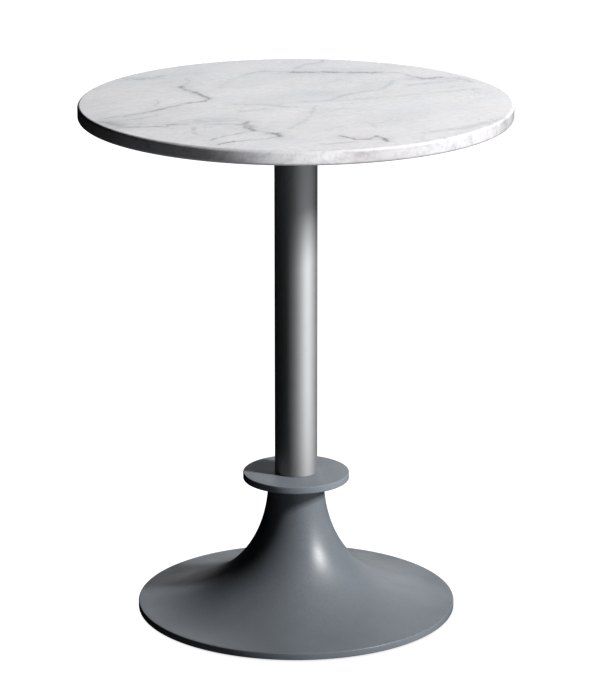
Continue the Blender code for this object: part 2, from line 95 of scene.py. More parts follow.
# Small edges and chamfers.
TUBE_EDGE = 0.0004
CASTING_EDGE = 0.0014
HUB_EDGE = 0.002
HUB_COVE = 0.005
HUB_SINK = 0.001  # how far the hub's top lies below the arms' top
BOSS_EDGE = 0.0008
RUBBER_EDGE = 0.0006
WASHER_EDGE = 0.0003
PLATE_EDGE = 0.0007
HEXAGON_FACE = 0.475  # the radius of a hexagon's flat end, as a share of its width across flats
HEXAGON_CHAMFER = 0.0005
SCREW_CHAMFER = 0.0006
ROD_CHAMFER = 0.0012
GLIDE_CHAMFER = 0.0007
GLIDE_HEAD_EDGE = 0.0003
GLIDE_PAD_EDGE = 0.0007
PLUG_CHAMFER = 0.0015
PLUG_BORE_CHAMFER = 0.001

THREAD_DEPTH = 0.61  # of the pitch
THREAD_CREST = 0.125  # of half the pitch
THREAD_FLANK = 0.625  # of half the pitch

# How finely round things are drawn: steps round the axis, and rows along a flare or a thread.
ROUND_STEPS = 256
HUB_STEPS = 128
WASHER_STEPS = 96
SMALL_STEPS = 72
DRILL_STEPS = 40
THREAD_STEPS = 40
FLARE_STEPS = 72
ROWS_PER_TURN = 8

DRILL_OVERRUN = 0.005  # how far a drill starts outside the slab or the base
THREAD_ROOT = 0.0005  # how far a threaded length is buried in its head
# Corners steeper than these stay sharp, in degrees.
SHARP_ANGLE = 35
SCREW_SHARP_ANGLE = 25
HEXAGON_SHARP_ANGLE = 12

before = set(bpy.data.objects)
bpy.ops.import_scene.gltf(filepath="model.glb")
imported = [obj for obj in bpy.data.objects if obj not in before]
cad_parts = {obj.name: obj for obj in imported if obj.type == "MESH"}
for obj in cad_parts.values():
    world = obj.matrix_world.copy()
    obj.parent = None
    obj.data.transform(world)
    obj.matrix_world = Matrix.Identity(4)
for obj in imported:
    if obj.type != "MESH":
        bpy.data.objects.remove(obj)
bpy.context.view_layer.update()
scene = bpy.context.scene


# --- Node helpers ---------------------------------------------------------------------------------------


class Nodes:
    """A node tree, with short calls for the nodes used here."""

    def __init__(self, tree):
        self.tree = tree

    def node(self, kind, **settings):
        """A new node with its settings."""
        made = self.tree.nodes.new(kind)
        for key, value in settings.items():
            setattr(made, key, value)
        return made

    def link(self, value, socket):
        """Sets a socket from another socket or from a constant."""
        if isinstance(value, bpy.types.NodeSocket):
            self.tree.links.new(value, socket)
        else:
            socket.default_value = value

    def math(self, operation, first, second=0.0, clamp=False):
        """A number from a Math node."""
        made = self.node("ShaderNodeMath", operation=operation, use_clamp=clamp)
        self.link(first, made.inputs[0])
        self.link(second, made.inputs[1])
        return made.outputs[0]

    def vector(self, operation, first, second=(0, 0, 0)):
        """A vector, or a length, from a Vector Math node."""
        made = self.node("ShaderNodeVectorMath", operation=operation)
        self.link(first, made.inputs[0])
        self.link(second, made.inputs[1])
        return made.outputs["Value"] if operation in ("DOT_PRODUCT", "LENGTH") else made.outputs[0]

    def scaled(self, vector, amount):
        """A vector times one number."""
        made = self.node("ShaderNodeVectorMath", operation="SCALE")
        self.link(vector, made.inputs[0])
        self.link(amount, made.inputs["Scale"])
        return made.outputs[0]

    def apart(self, vector):
        """The X, Y and Z of a vector."""
        made = self.node("ShaderNodeSeparateXYZ")
        self.link(vector, made.inputs[0])
        return list(made.outputs)

    def place(self):
        """The point's place on the object, in metres."""
        return self.node("ShaderNodeTexCoord").outputs["Object"]

    def mapped(self, vector, scale, turn=0.0):
        """The vector turned round Z by degrees, then scaled."""
        made = self.node("ShaderNodeMapping", vector_type="TEXTURE")
        self.link(vector, made.inputs["Vector"])
        made.inputs["Rotation"].default_value = (0, 0, radians(turn))
        made.inputs["Scale"].default_value = tuple(1 / value for value in scale)
        return made.outputs[0]

    def noise(self, vector, scale, detail=3.0, roughness=0.5, color=False):
        """Soft noise from 0 to 1."""
        made = self.node("ShaderNodeTexNoise")
        self.link(vector, made.inputs["Vector"])
        made.inputs["Scale"].default_value = scale
        made.inputs["Detail"].default_value = detail
        made.inputs["Roughness"].default_value = roughness
        return made.outputs["Color" if color else "Fac"]

    def spread(self, value, low, high, to_low=0.0, to_high=1.0, smooth=True):
        """Maps a range of values onto another."""
        kind = "SMOOTHSTEP" if smooth else "LINEAR"
        made = self.node("ShaderNodeMapRange", interpolation_type=kind)
        for socket, number in zip(made.inputs, (value, low, high, to_low, to_high)):
            self.link(number, socket)
        return made.outputs[0]

    def mix(self, factor, first, second):
        """A colour between two."""
        made = self.node("ShaderNodeMix", data_type="RGBA")
        self.link(factor, made.inputs["Factor"])
        for socket, value in ((made.inputs[6], first), (made.inputs[7], second)):
            self.link((*value, 1.0) if isinstance(value, tuple) else value, socket)
        return made.outputs[2]

    def bump(self, height, strength, distance):
        """A normal from a height."""
        made = self.node("ShaderNodeBump")
        made.inputs["Strength"].default_value = strength
        made.inputs["Distance"].default_value = distance
        self.link(height, made.inputs["Height"])
        return made.outputs[0]

    def choice(self, factor, first, second):
        """The first of two shaders where the factor is 0, and the second where it is 1."""
        made = self.node("ShaderNodeMixShader")
        for socket, value in zip(made.inputs, (factor, first, second)):
            self.link(value, socket)
        return made.outputs[0]


class Shader(Nodes):
    """A new material with its node tree."""

    def __init__(self, name):
        self.material = bpy.data.materials.new(name)
        self.material.use_nodes = True
        super().__init__(self.material.node_tree)
        self.principled = self.tree.nodes["Principled BSDF"]

    def set(self, **values):
        """Sets the Principled shader's sockets. An underscore in a name stands for a space."""
        for key, value in values.items():
            socket = self.principled.inputs[key.replace("_", " ")]
            self.link((*value, 1.0) if isinstance(value, tuple) and len(value) == 3 else value, socket)
        return self.material


# --- Materials ------------------------------------------------------------------------------------------

# Veins on the slab, as (darkness, half width, points) in metres from its centre. +Y is away from the camera.
VEINS = [
    (1.00, 0.0046, [(-0.160, 0.103), (-0.155, 0.083), (-0.142, 0.067), (-0.133, 0.043), (-0.121, 0.027)]),
    (0.26, 0.0040, [(-0.158, 0.157), (-0.150, 0.133), (-0.160, 0.103)]),
    (0.60, 0.0042, [(-0.121, 0.027), (-0.125, 0.003), (-0.150, -0.010), (-0.173, -0.033), (-0.197, -0.060)]),
    (0.42, 0.0036, [(-0.197, -0.060), (-0.227, -0.087), (-0.256, -0.104)]),
    (0.45, 0.0060, [(-0.258, -0.122), (-0.247, -0.143), (-0.233, -0.157)]),
    (
        0.50,
        0.0040,
        [(-0.233, -0.157), (-0.200, -0.157), (-0.175, -0.157), (-0.171, -0.143), (-0.158, -0.141)],
    ),
    (0.30, 0.0040, [(-0.243, -0.127), (-0.227, -0.137), (-0.203, -0.140)]),
    (0.22, 0.0050, [(-0.247, -0.128), (-0.207, -0.102), (-0.187, -0.085)]),
    (0.22, 0.0110, [(-0.153, -0.143), (-0.120, -0.125), (-0.082, -0.114)]),
    (0.30, 0.0060, [(-0.120, -0.140), (-0.080, -0.140)]),
    (1.00, 0.0058, [(-0.063, -0.123), (-0.068, -0.143), (-0.063, -0.160), (-0.055, -0.177)]),
    (0.30, 0.0032, [(-0.055, -0.177), (-0.033, -0.194)]),
    (0.95, 0.0060, [(-0.033, -0.194), (-0.025, -0.198), (-0.021, -0.213)]),
    (0.34, 0.0034, [(-0.021, -0.213), (-0.033, -0.227), (-0.060, -0.238), (-0.083, -0.247)]),
    (0.75, 0.0038, [(-0.083, -0.247), (-0.102, -0.264)]),
    (0.40, 0.0028, [(-0.066, -0.184), (-0.093, -0.210), (-0.112, -0.235)]),
    (0.28, 0.0046, [(-0.137, -0.160), (-0.133, -0.197)]),
    (0.76, 0.0066, [(-0.007, 0.201), (0.033, 0.201), (0.073, 0.199), (0.120, 0.200)]),
    (0.32, 0.0050, [(-0.067, 0.190), (-0.047, 0.209), (-0.007, 0.201)]),
    (0.34, 0.0050, [(0.120, 0.200), (0.147, 0.195), (0.167, 0.170)]),
    (0.66, 0.0056, [(0.167, 0.170), (0.180, 0.156), (0.207, 0.163)]),
    (0.38, 0.0060, [(0.207, 0.163), (0.233, 0.156), (0.246, 0.138)]),
    (0.26, 0.0080, [(0.240, 0.150), (0.200, 0.133), (0.155, 0.108)]),
    (0.30, 0.0050, [(0.137, 0.143), (0.130, 0.113), (0.120, 0.083), (0.100, 0.070)]),
    (0.28, 0.0050, [(0.100, 0.070), (0.067, 0.047), (0.047, 0.010), (0.013, 0.000)]),
    (0.15, 0.0080, [(0.047, 0.007), (0.100, 0.023), (0.160, 0.047), (0.247, 0.087)]),
    (0.26, 0.0050, [(-0.080, -0.013), (-0.040, -0.017), (-0.018, -0.032), (0.000, -0.033)]),
    (0.16, 0.0060, [(-0.073, -0.060), (-0.033, -0.040)]),
    (0.20, 0.0040, [(0.027, -0.020), (0.020, -0.087), (0.010, -0.127), (-0.010, -0.173)]),
    (0.66, 0.0036, [(0.060, -0.213), (0.080, -0.233), (0.097, -0.227), (0.107, -0.212)]),
    (0.72, 0.0036, [(0.107, -0.216), (0.113, -0.222), (0.121, -0.241)]),
    (0.30, 0.0036, [(0.030, -0.258), (0.080, -0.247)]),
    (0.40, 0.0060, [(-0.242, 0.153), (-0.220, 0.148), (-0.187, 0.177)]),
    (0.34, 0.0050, [(0.000, 0.227), (0.010, 0.253), (0.036, 0.272)]),
    (0.14, 0.0060, [(-0.067, 0.190), (-0.087, 0.160), (-0.107, 0.093)]),
    (0.22, 0.0100, [(0.284, -0.098), (0.247, -0.140), (0.220, -0.167), (0.167, -0.193)]),
    (0.30, 0.0030, [(-0.193, 0.012), (-0.190, -0.020)]),
    (0.16, 0.0060, [(0.060, -0.043), (0.090, -0.045)]),
    (0.15, 0.0040, [(0.100, -0.133), (0.107, -0.167)]),
    (0.46, 0.0150, [(-0.262, -0.124), (-0.234, -0.152)]),
    (0.22, 0.0190, [(-0.135, -0.118), (-0.095, -0.112)]),
    (0.24, 0.0180, [(0.166, 0.160), (0.212, 0.152)]),
    (0.24, 0.0150, [(-0.240, 0.152), (-0.195, 0.160)]),
    (0.18, 0.0170, [(0.060, -0.226), (0.112, -0.222)]),
    (0.46, 0.0090, [(-0.076, -0.141), (-0.060, -0.146), (-0.058, -0.160)]),
    (0.46, 0.0080, [(-0.034, -0.197), (-0.020, -0.205)]),
    (0.30, 0.0080, [(-0.150, 0.074), (-0.126, 0.030)]),
    (0.44, 0.0036, [(0.041, 0.296), (0.036, 0.272)]),
    (0.12, 0.0220, [(0.020, 0.060), (0.044, 0.058)]),
]
VEIN_WANDER = 0.014  # how far slow noise bends a vein
VEIN_JAG = 0.012  # how far quick noise roughens it
VEIN_WIDENING = 1.75
VEIN_DARKENING = 1.4
VEIN_FALLOFF = 1.4  # the power by which a vein fades to its sides
HAZE_WIDENING = 3.4  # of the vein's width
HAZE_DARKNESS = 0.24  # of the vein's darkness
HAIR_STRETCH = 3.2  # how much longer than wide the hair veins' noise is

# The slab's honed edge and sawn underside. A pair says where a change starts and where it is complete.
HONED_INSIDE_RIM = (0.0032, 0.0006)
HONED_BELOW_TOP = (0.0012, 0.0042)
SAWN_ABOVE_UNDERSIDE = (0.0012, 0.0003)
# Painted shade and light on the edge, as shares of the ground's colour: darker towards -X, palest in the
# middle and darker again towards +X.
EDGE_PAINTED_SHADE_LEFT = 0.78
EDGE_PAINTED_LIGHT_MIDDLE = 1.32
EDGE_PAINTED_SHADE_RIGHT = 0.62  # of the middle's
EDGE_PAINTED_SHADE_LEFT_SPAN = (-0.150, -0.020)
EDGE_PAINTED_SHADE_RIGHT_SPAN = (0.020, 0.100)
WHITEST = 0.95  # no stone sends back more light than this


def vein_group():
    """A node group for one straight stretch of vein. X and Y pass through, and Z keeps the darkest so far."""
    group = bpy.data.node_groups.new("vein_stretch", "ShaderNodeTree")
    for name, kind in (
        ("Point", "NodeSocketVector"),
        ("Start", "NodeSocketVector"),
        ("Along", "NodeSocketVector"),
        ("Inverse Square", "NodeSocketFloat"),
        ("Width", "NodeSocketFloat"),
        ("Darkness", "NodeSocketFloat"),
    ):
        group.interface.new_socket(name, in_out="INPUT", socket_type=kind)
    group.interface.new_socket("Point", in_out="OUTPUT", socket_type="NodeSocketVector")
    nodes = Nodes(group)
    given = nodes.node("NodeGroupInput").outputs
    result = nodes.node("NodeGroupOutput").inputs[0]

    flat = nodes.vector("MULTIPLY", given["Point"], (1, 1, 0))
    away = nodes.vector("SUBTRACT", flat, given["Start"])
    reach = nodes.vector("DOT_PRODUCT", away, given["Along"])
    share = nodes.math("MULTIPLY", reach, given["Inverse Square"], clamp=True)
    offset = nodes.vector("SUBTRACT", away, nodes.scaled(given["Along"], share))
    distance = nodes.vector("LENGTH", offset)

    def faded(wider, fainter):
        width = nodes.math("MULTIPLY", given["Width"], wider)
        peak = nodes.math("MULTIPLY", given["Darkness"], fainter)
        fade = nodes.spread(distance, 0.0, width, 1.0, 0.0, smooth=False)
        return nodes.math("MULTIPLY", nodes.math("POWER", fade, VEIN_FALLOFF), peak)

    here = nodes.math("MAXIMUM", faded(1.0, 1.0), faded(HAZE_WIDENING, HAZE_DARKNESS))
    x, y, so_far = nodes.apart(given["Point"])
    joined = nodes.node("ShaderNodeCombineXYZ")
    for socket, value in zip(joined.inputs, (x, y, nodes.math("MAXIMUM", so_far, here))):
        nodes.link(value, socket)
    nodes.link(joined.outputs[0], result)
    return group


def drawn_veins(shader, point):
    """The darkest of all the drawn veins at a point. Each stretch hands its result on to the next in Z."""
    group = vein_group()
    point = shader.vector("MULTIPLY", point, (1, 1, 0))
    for darkness, width, points in VEINS:
        for start, end in zip(points, points[1:]):
            along = Vector((end[0] - start[0], end[1] - start[1], 0))
            made = shader.node("ShaderNodeGroup", node_tree=group)
            shader.link(point, made.inputs["Point"])
            made.inputs["Start"].default_value = (*start, 0)
            made.inputs["Along"].default_value = along
            made.inputs["Inverse Square"].default_value = 1 / along.length_squared
            made.inputs["Width"].default_value = width * VEIN_WIDENING
            made.inputs["Darkness"].default_value = min(darkness * VEIN_DARKENING, 1.0)
            point = made.outputs[0]
    return shader.apart(point)[2]


def hair_veins(shader, place, turn, scale, width):
    """Thin lines where stretched noise crosses its middle value."""
    stretched = shader.mapped(place, (scale, scale * HAIR_STRETCH, scale), turn=turn)
    value = shader.noise(stretched, 1.0, detail=5.0, roughness=0.6)
    off_middle = shader.math("ABSOLUTE", shader.math("SUBTRACT", value, 0.5))
    return shader.spread(off_middle, 0.0, width, 1.0, 0.0)


def marble_material():
    """Polished white marble: cloudy ground, drawn grey veins, and hair veins that run through the stone."""
    low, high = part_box("marble_top")
    shader = Shader("polished_marble")
    place = shader.place()
    halfway = (0.5, 0.5, 0.5)
    wander = shader.vector("SUBTRACT", shader.noise(place, 16.0, detail=2.0, color=True), halfway)
    jag = shader.vector("SUBTRACT", shader.noise(place, 85.0, detail=4.0, roughness=0.6, color=True), halfway)
    bent = shader.vector("ADD", place, shader.scaled(wander, VEIN_WANDER))
    bent = shader.vector("ADD", bent, shader.scaled(jag, VEIN_JAG))
    veins = drawn_veins(shader, bent)
    broken = shader.spread(shader.noise(place, 75.0, detail=4.0), 0.34, 0.60, 0.52, 1.0)
    veins = shader.math("MULTIPLY", veins, broken)

    clouds = shader.noise(shader.mapped(place, (1, 2.2, 1), turn=38), 7.0, detail=5.0, roughness=0.55)
    ground = shader.mix(shader.spread(clouds, 0.36, 0.66), (0.706, 0.687, 0.696), (0.802, 0.781, 0.787))
    mottle = shader.noise(place, 110.0, detail=5.0, roughness=0.65)
    ground = shader.mix(shader.spread(mottle, 0.36, 0.66, 0.0, 0.34), ground, (0.540, 0.542, 0.550))
    pink = shader.spread(shader.noise(place, 9.0, detail=2.0), 0.48, 0.68, 0.0, 0.55)
    ground = shader.mix(pink, ground, (0.780, 0.726, 0.742))
    elsewhere = shader.vector("ADD", place, (3.7, 1.1, 0.6))
    blue = shader.spread(shader.noise(elsewhere, 10.0, detail=2.0), 0.52, 0.70, 0.0, 0.30)
    ground = shader.mix(blue, ground, (0.700, 0.712, 0.762))
    hair = hair_veins(shader, place, 42, 8.0, 0.010)
    patchy = shader.spread(shader.noise(place, 11.0, detail=2.0), 0.42, 0.66, 0.0, 0.50)
    ground = shader.mix(shader.math("MULTIPLY", hair, patchy), ground, (0.330, 0.340, 0.355))
    streaks = hair_veins(shader, shader.vector("ADD", place, (3.1, 1.7, 0.4)), 15, 20.0, 0.030)
    ground = shader.mix(shader.math("MULTIPLY", streaks, 0.20), ground, (0.400, 0.408, 0.420))

    across, _, height = shader.apart(place)
    # The edge gets spotted stone colour with painted shade and light across the slab.
    ground = shader.mix(honed_edge(shader, height, high), ground, edge_color_and_painted_shade(shader, ground, across))
    start, full = SAWN_ABOVE_UNDERSIDE
    sawn = shader.spread(height, low.z + start, low.z + full)
    ground = shader.mix(shader.math("MULTIPLY", sawn, 0.6), ground, (0.500, 0.500, 0.505))

    color = shader.mix(veins, ground, (0.060, 0.066, 0.074))
    smear = shader.spread(shader.noise(place, 40.0, detail=4.0), 0.3, 0.7, 0.12, 0.20)
    rough = shader.math("ADD", smear, shader.math("MULTIPLY", sawn, 0.38))
    normal = shader.bump(shader.noise(place, 650.0, detail=3.0), 0.02, 0.0002)
    return shader.set(Base_Color=color, Roughness=rough, Normal=normal, IOR=1.5)


def honed_edge(shader, height, high):
    """1 on the slab's honed edge, and 0 on its polished face. high is the top corner of its box."""
    from_axis = shader.vector("LENGTH", shader.vector("MULTIPLY", shader.place(), (1, 1, 0)))
    start, full = HONED_INSIDE_RIM
    side = shader.spread(from_axis, high.x - start, high.x - full)
    start, full = HONED_BELOW_TOP
    below_top = shader.spread(height, high.z - start, high.z - full)
    return shader.math("MULTIPLY", side, below_top)


def edge_color_and_painted_shade(shader, ground, across):
    """The stone's colour on the honed edge, spotted, with painted shade and light: darker towards -X and +X,
    and palest in the middle.
    """
    # painted shade and light: the edge is darker towards -X and +X and palest in the middle
    left = shader.spread(across, *EDGE_PAINTED_SHADE_LEFT_SPAN, EDGE_PAINTED_SHADE_LEFT, EDGE_PAINTED_LIGHT_MIDDLE)
    right = shader.spread(across, *EDGE_PAINTED_SHADE_RIGHT_SPAN, 1.0, EDGE_PAINTED_SHADE_RIGHT)
    tone = shader.math("MULTIPLY", left, right)
    grain = shader.mapped(shader.place(), (1, 1, 2.0))
    spots = shader.noise(grain, 60.0, detail=5.0, roughness=0.6)
    tone = shader.math("MULTIPLY", tone, shader.spread(spots, 0.46, 0.72, 1.0, 0.82))
    return shader.vector("MINIMUM", shader.scaled(ground, tone), (WHITEST, WHITEST, WHITEST))


def satin_metal():
    """The column: satin steel, ground round its girth, so that light spreads along its length."""
    shader = Shader("satin_steel_tube")
    place = shader.place()
    grain = shader.noise(shader.mapped(place, (12, 12, 2200)), 1.0, detail=3.0)
    blotch = shader.noise(place, 22.0, detail=3.0)
    color = shader.mix(grain, (0.436, 0.437, 0.440), (0.510, 0.510, 0.512))
    fine = shader.spread(grain, 0.3, 0.7, 0.68, 0.72)
    rough = shader.math("ADD", fine, shader.spread(blotch, 0.3, 0.7, 0.0, 0.03))
    around = shader.node("ShaderNodeTangent", direction_type="RADIAL", axis="Z").outputs[0]
    shader.principled.inputs["Anisotropic"].default_value = 0.40
    shader.principled.inputs["Anisotropic Rotation"].default_value = 0.25
    shader.principled.inputs["Coat Weight"].default_value = 0.30
    shader.principled.inputs["Coat Roughness"].default_value = 0.20
    normal = shader.bump(grain, 0.05, 0.0003)
    return shader.set(Base_Color=color, Metallic=1.0, Roughness=rough, Normal=normal, Tangent=around)


def painted_metal(name, color, deep, roughness, peel, shine=0.5):
    """Satin paint with a slight orange peel over the metal."""
    shader = Shader(name)
    place = shader.place()
    tone = shader.noise(place, 9.0, detail=4.0)
    flecks = shader.noise(place, 1400.0, detail=1.0)
    base = shader.mix(shader.spread(tone, 0.35, 0.65), deep, color)
    speckle = shader.noise(place, 520.0, detail=3.0, roughness=0.7)
    base = shader.mix(shader.spread(speckle, 0.30, 0.52, 0.45, 0.0), base, tuple(c * 0.62 for c in color))
    bright = tuple(min(c * 1.8, 1.0) for c in color)
    base = shader.mix(shader.spread(flecks, 0.56, 0.78, 0.0, 0.40), base, bright)
    orange_peel = shader.noise(place, 420.0, detail=2.0)
    rough = shader.spread(shader.noise(place, 30.0, detail=4.0), 0.3, 0.7, roughness - 0.03, roughness + 0.04)
    normal = shader.bump(orange_peel, peel, 0.0004)
    shader.principled.inputs["Specular IOR Level"].default_value = shine
    return shader.set(Base_Color=base, Roughness=rough, Normal=normal, IOR=1.5)


def plated_steel():
    """Zinc-plated fasteners: bright, slightly blue, with a mottled plating."""
    shader = Shader("zinc_plated_steel")
    place = shader.place()
    spangle = shader.noise(place, 160.0, detail=4.0)
    color = shader.mix(spangle, (0.50, 0.52, 0.55), (0.70, 0.71, 0.70))
    rough = shader.spread(spangle, 0.3, 0.7, 0.24, 0.40)
    normal = shader.bump(spangle, 0.05, 0.0003)
    return shader.set(Base_Color=color, Metallic=1.0, Roughness=rough, Normal=normal)


def turned_brass():
    """Brass with fine turning marks."""
    shader = Shader("turned_brass")
    place = shader.place()
    marks = shader.noise(shader.mapped(place, (60, 60, 2600)), 1.0, detail=2.0)
    color = shader.mix(marks, (0.66, 0.46, 0.18), (0.80, 0.60, 0.28))
    rough = shader.spread(marks, 0.3, 0.7, 0.25, 0.38)
    return shader.set(Base_Color=color, Metallic=1.0, Roughness=rough)


def moulded(name, color, roughness, grain_scale):
    """Rubber or plastic with a fine moulded grain."""
    shader = Shader(name)
    place = shader.place()
    grain = shader.noise(place, grain_scale, detail=3.0)
    dark, pale = tuple(c * 0.8 for c in color), tuple(c * 1.4 for c in color)
    shade = shader.mix(shader.noise(place, 90.0, detail=3.0), dark, pale)
    rough = shader.spread(grain, 0.3, 0.7, roughness - 0.06, roughness + 0.08)
    return shader.set(Base_Color=shade, Roughness=rough, Normal=shader.bump(grain, 0.25, 0.0002))


MARBLE = marble_material()
TUBE_METAL = satin_metal()
GREY_PAINT = painted_metal("grey_satin_paint", (0.226, 0.245, 0.268), (0.203, 0.221, 0.243), 0.42, 0.12, 0.12)
CAST_PAINT = painted_metal(
    "cast_grey_satin_paint", (0.171, 0.186, 0.204), (0.151, 0.165, 0.181), 0.385, 0.18, 0.42
)
BLACK_PAINT = painted_metal("black_paint", (0.030, 0.030, 0.032), (0.022, 0.022, 0.024), 0.50, 0.30)
ZINC = plated_steel()
BRASS = turned_brass()
RUBBER = moulded("black_rubber", (0.022, 0.022, 0.022), 0.78, 1500.0)
PLASTIC = moulded("black_plastic", (0.030, 0.030, 0.032), 0.48, 900.0)


# --- Mesh helpers ---------------------------------------------------------------------------------------


def arc(centre, radius, start, end, steps):
    """Points (x, z) on an arc, from one angle to the other, in degrees."""
    angles = [radians(start + (end - start) * i / steps) for i in range(steps + 1)]
    return [(centre[0] + radius * cos(a), centre[1] + radius * sin(a)) for a in angles]


def added(name, data):
    """A new object in the scene."""
    obj = bpy.data.objects.new(name, data)
    scene.collection.objects.link(obj)
    return obj


def from_cage(name, cage):
    """A new object in the scene from a bmesh, which is used up."""
    mesh = bpy.data.meshes.new(name)
    cage.to_mesh(mesh)
    cage.free()
    return added(name, mesh)


def evaluated(obj):
    """Replaces an object's mesh with what its modifiers make of it."""
    bpy.context.view_layer.update()
    graph = bpy.context.evaluated_depsgraph_get()
    mesh = bpy.data.meshes.new_from_object(obj.evaluated_get(graph))
    obj.modifiers.clear()
    obj.data = mesh


def lathe(name, profile, material, steps=ROUND_STEPS, closed=True):
    """A fine turned piece. The profile runs down its outer side, and a closed one is a ring's section."""
    mesh = bpy.data.meshes.new(name)
    edges = [(i, i + 1) for i in range(len(profile) - 1)]
    if closed:
        edges.append((len(profile) - 1, 0))
    mesh.from_pydata([(x, 0.0, z) for x, z in profile], edges, [])
    obj = added(name, mesh)
    screw = obj.modifiers.new("Turned", "SCREW")
    screw.steps = steps
    screw.render_steps = steps
    screw.use_merge_vertices = True
    screw.merge_threshold = 0.000001
    evaluated(obj)
    if material:
        obj.data.materials.append(material)
    return shaded(obj)


def ring(name, inner, outer, bottom, top, edge, material, steps=SMALL_STEPS):
    """A washer or a pad, with rounded edges."""
    profile = arc((inner + edge, top - edge), edge, 180, 90, 3)
    profile += arc((outer - edge, top - edge), edge, 90, 0, 3)
    profile += arc((outer - edge, bottom + edge), edge, 0, -90, 3)
    profile += arc((inner + edge, bottom + edge), edge, -90, -180, 3)
    return lathe(name, profile, material, steps)


def shaded(obj, sharp=SHARP_ANGLE):
    """Smooth shading, with corners steeper than that kept sharp."""
    obj.data.shade_smooth()
    obj.data.set_sharp_from_angle(angle=radians(sharp))
    return obj


def combine(obj, operation, others, sharp=SHARP_ANGLE):
    """Joins other objects on, or cuts or trims with them. The others are used up."""
    for other in others:
        modifier = obj.modifiers.new(operation.title(), "BOOLEAN")
        modifier.operation = operation
        modifier.solver = "EXACT"
        modifier.object = other
    evaluated(obj)
    for other in others:
        bpy.data.objects.remove(other)
    return shaded(obj, sharp)


def hexagonal(name, flats, bore, bottom, top, material):
    """A hexagonal nut or screw head, with its corners crowned at both ends. A bore of 0 leaves it solid."""
    corner = flats / 2 / cos(pi / 6)
    face = flats * HEXAGON_FACE
    drop = (corner - face) * tan(pi / 6)
    sink = HEXAGON_CHAMFER
    inside_top = [(bore, top - sink), (bore + sink, top)] if bore else [(0, top)]
    inside_bottom = [(bore + sink, bottom), (bore, bottom + sink)] if bore else [(0, bottom)]
    outside = [(face, top), (corner, top - drop), (corner, bottom + drop), (face, bottom)]
    blank = lathe(name, inside_top + outside + inside_bottom, material, SMALL_STEPS, closed=bool(bore))
    cage = bmesh.new()
    bmesh.ops.create_cone(
        cage,
        cap_ends=True,
        segments=6,
        radius1=corner,
        radius2=corner,
        depth=2 * (top - bottom),
        matrix=Matrix.Translation((0, 0, (top + bottom) / 2)),
    )
    return combine(blank, "INTERSECT", [from_cage("prism", cage)], sharp=HEXAGON_SHARP_ANGLE)


def threaded(name, radius, pitch, bottom, top, chamfer, runs, material):
    """A rod with a helical thread along each (low, high) run of its length."""
    depth = THREAD_DEPTH * pitch
    heights = {bottom, top, bottom + chamfer, top - chamfer}
    for low, high in runs:
        count = ceil((high - low) / pitch * ROWS_PER_TURN)
        heights |= {low + (high - low) * i / count for i in range(count + 1)}
    heights = sorted(heights)
    points = []
    for z in heights:
        limit = radius - max(0.0, chamfer - (z - bottom), chamfer - (top - z))
        fade = 0.0
        for low, high in runs:
            start = 1.0 if low <= bottom else (z - low) / pitch
            end = 1.0 if high >= top else (high - z) / pitch
            fade = max(fade, min(1.0, start, end))
        for i in range(THREAD_STEPS):
            turn = i / THREAD_STEPS
            off_crest = abs(2 * ((z / pitch - turn) % 1.0) - 1)
            cut = min(max((off_crest - THREAD_CREST) / THREAD_FLANK, 0.0), 1.0)
            reach = min(limit, radius - depth * cut * fade)
            points.append((reach * cos(2 * pi * turn), reach * sin(2 * pi * turn), z))
    faces = [tuple(reversed(range(THREAD_STEPS)))]
    for row in range(len(heights) - 1):
        for i in range(THREAD_STEPS):
            a = row * THREAD_STEPS + i
            b = row * THREAD_STEPS + (i + 1) % THREAD_STEPS
            faces.append((a, b, b + THREAD_STEPS, a + THREAD_STEPS))
    faces.append(tuple(range(len(points) - THREAD_STEPS, len(points))))
    mesh = bpy.data.meshes.new(name)
    mesh.from_pydata(points, [], faces)
    mesh.materials.append(material)
    return shaded(added(name, mesh))


def middle(node):
    """The point (x, y, 0) below the centre of a CAD node."""
    low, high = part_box(node)
    return Vector(((low.x + high.x) / 2, (low.y + high.y) / 2, 0))


def middles(node):
    """The points below the centres of the four CAD nodes with that name."""
    return [middle(f"{node}_{number}") for number in NUMBERS]


def half_width(node):
    """Half the width of a CAD node, which is the radius of a round one."""
    low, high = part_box(node)
    return (high.x - low.x) / 2


def stem_bore():
    """The radius of the column tube's bore."""
    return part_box("stem_tube")[1].x - STEM_WALL


def drills(radius, bottom, top, points):
    """Cylinders that cut a hole at each point."""
    cutters = []
    for point in points:
        outline = [(0, top), (radius, top), (radius, bottom), (0, bottom)]
        cutter = lathe("drill", outline, None, DRILL_STEPS, closed=False)
        cutter.location = (point.x, point.y, 0)
        cutters.append(cutter)
    return cutters


def stand_for(piece, node, body="table"):
    """The piece is shown in place of a CAD node, and rides on its body."""
    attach(piece, body)
    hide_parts(node)


def copies(prototype, name, node, body="table"):
    """Puts a copy of a finished piece over each of four CAD nodes. The copies share one mesh."""
    for number in NUMBERS:
        copy = added(f"{name}_{number}", prototype.data)
        copy.location = middle(f"{node}_{number}")
        stand_for(copy, f"{node}_{number}", body if body == "table" else f"{body}_{number}")
    bpy.data.objects.remove(prototype)


# --- The pieces -----------------------------------------------------------------------------------------


def make_slab():
    """The marble slab, with polished eased edges."""
    low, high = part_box("marble_top")
    radius = high.x
    flat = radius - SLAB_EDGE_RADIUS
    profile = [(0, high.z), (flat * 0.5, high.z)]
    profile += arc((flat, high.z - SLAB_EDGE_RADIUS), SLAB_EDGE_RADIUS, 90, 0, 8)
    profile += arc((flat, low.z + SLAB_EDGE_RADIUS), SLAB_EDGE_RADIUS, 0, -90, 8)
    profile += [(flat * 0.5, low.z), (0, low.z)]
    slab = lathe("marble_slab", profile, MARBLE, closed=False)
    hole_top = low.z + INSERT_LENGTH + 2 * FIT_GAP
    holes = drills(half_width("insert_1") + FIT_GAP, low.z - DRILL_OVERRUN, hole_top, middles("insert"))
    combine(slab, "DIFFERENCE", holes)
    stand_for(slab, "marble_top")


